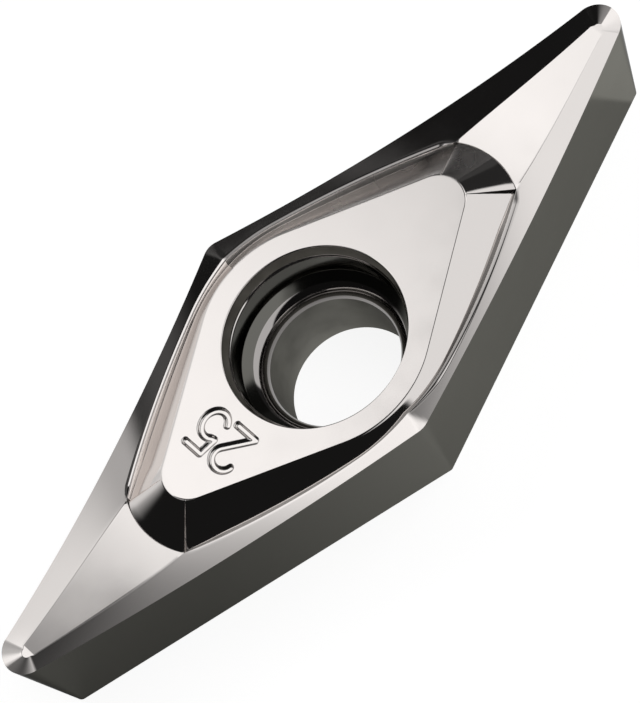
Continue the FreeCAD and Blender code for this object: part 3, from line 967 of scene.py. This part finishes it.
class InsertStage(bpy.types.PropertyGroup):
    """Floor, light and camera of the studio."""

    floor_size: bpy.props.FloatProperty(
        name="Floor size", description="Side of the square floor", subtype="DISTANCE",
        unit="LENGTH", min=0.1, max=10.0, default=3.0)
    floor_colour: bpy.props.FloatVectorProperty(
        name="Floor colour", description="Colour of the floor", subtype="COLOR", size=3,
        min=0.0, max=1.0, default=(0.40, 0.40, 0.40))
    floor_fill: bpy.props.FloatProperty(
        name="Floor fill", description="White that camera and metal see added to the floor",
        subtype="FACTOR", min=0.0, max=1.0, default=0.88)
    light: bpy.props.FloatProperty(
        name="Light", description="Strength of the studio light", subtype="FACTOR",
        min=0.0, max=2.0, default=1.0)
    lens: bpy.props.FloatProperty(
        name="Lens", description="Focal length of the camera in millimetres", subtype="NONE",
        min=10.0, max=400.0, default=172.78)


class INSERT_OT_surface(bpy.types.Operator):
    """Build the polished surface of the insert in place of its solid"""

    bl_idname = "insert.surface"
    bl_label = "Insert surface"

    def execute(self, context):
        look = context.scene.insert_look
        mesh = build_surface(look.figure_depth / MM)
        piece = bpy.data.objects.new("insert_surface", mesh)
        context.scene.collection.objects.link(piece)
        for material_entry in finishes_and_painted_light(look):
            mesh.materials.append(carbide_material(*material_entry))
        weighted = piece.modifiers.new("even_normals", "WEIGHTED_NORMAL")
        weighted.keep_sharp = True
        weighted.mode = "FACE_AREA"
        weighted.weight = 100
        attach(piece, "root")
        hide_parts("insert_body")
        return {"FINISHED"}


class INSERT_OT_stage(bpy.types.Operator):
    """Set the floor, the studio light and the camera"""

    bl_idname = "insert.stage"
    bl_label = "Studio"

    def execute(self, context):
        scene, stage = context.scene, context.scene.insert_stage
        self.add_floor(scene, stage)
        self.add_world(scene, stage)
        self.add_camera(scene, stage)
        return {"FINISHED"}

    @staticmethod
    def add_floor(scene, stage):
        half = stage.floor_size / 2
        mesh = bpy.data.meshes.new("floor")
        corners = [(x * half, y * half, -FLOOR_DROP)
                   for x, y in ((-1, -1), (1, -1), (1, 1), (-1, 1))]
        mesh.from_pydata(corners, [], [(0, 1, 2, 3)])
        floor = bpy.data.objects.new("floor", mesh)
        scene.collection.objects.link(floor)
        mesh.materials.append(floor_material(stage.floor_colour, stage.floor_fill))

    @staticmethod
    def add_world(scene, stage):
        world = bpy.data.worlds.new("studio")
        world.use_nodes = True
        tree = world.node_tree
        tree.nodes.clear()
        light = studio_light(tree) * stage.light
        glow = make(tree, "ShaderNodeBackground", {}, {"Color": WHITE, "Strength": light})
        output = make(tree, "ShaderNodeOutputWorld", {}, {})
        tree.links.new(glow.outputs[0], output.inputs["Surface"])
        scene.world = world

    @staticmethod
    def add_camera(scene, stage):
        turn = mathutils.Vector(CAMERA_TURN)
        rows = mathutils.Matrix.Rotation(turn.length, 3, turn.normalized())
        flip = mathutils.Matrix([(rows[0][i], -rows[1][i], -rows[2][i]) for i in range(3)])
        place = -(rows.transposed() @ mathutils.Vector(CAMERA_SHIFT)) * MM
        data = bpy.data.cameras.new("camera")
        data.lens = stage.lens
        data.sensor_width = SENSOR_WIDTH
        data.clip_start = CLIP_START
        camera = bpy.data.objects.new("camera", data)
        camera.matrix_world = mathutils.Matrix.Translation(place) @ flip.to_4x4()
        scene.collection.objects.link(camera)
        scene.camera = camera
        scene.render.resolution_x, scene.render.resolution_y = IMAGE_SIZE
        scene.render.resolution_percentage = 100
        scene.view_settings.view_transform = "Standard"


class INSERT_PT_panel(bpy.types.Panel):
    """Shows the settings of the insert and the studio, with the buttons that build them"""

    bl_idname = "INSERT_PT_panel"
    bl_label = "Turning insert"
    bl_space_type = "VIEW_3D"
    bl_region_type = "UI"
    bl_category = "Insert"

    def draw(self, context):
        layout, scene = self.layout, context.scene
        for name in ("colour", "roughness", "flank_colour", "flank_roughness", "bore_painted_shade_colour",
                     "wall_painted_shade_colour", "figure_depth"):
            layout.prop(scene.insert_look, name)
        layout.operator(INSERT_OT_surface.bl_idname)
        for name in ("floor_size", "floor_colour", "floor_fill", "light", "lens"):
            layout.prop(scene.insert_stage, name)
        layout.operator(INSERT_OT_stage.bl_idname)


CLASSES = (InsertLook, InsertStage, INSERT_OT_surface, INSERT_OT_stage, INSERT_PT_panel)


def register():
    for kind in CLASSES:
        bpy.utils.register_class(kind)
    bpy.types.Scene.insert_look = bpy.props.PointerProperty(type=InsertLook)
    bpy.types.Scene.insert_stage = bpy.props.PointerProperty(type=InsertStage)


def unregister():
    del bpy.types.Scene.insert_stage
    del bpy.types.Scene.insert_look
    for kind in reversed(CLASSES):
        bpy.utils.unregister_class(kind)


def main():
    register()
    bpy.ops.insert.surface()
    bpy.ops.insert.stage()


if __name__ == "__main__":
    main()
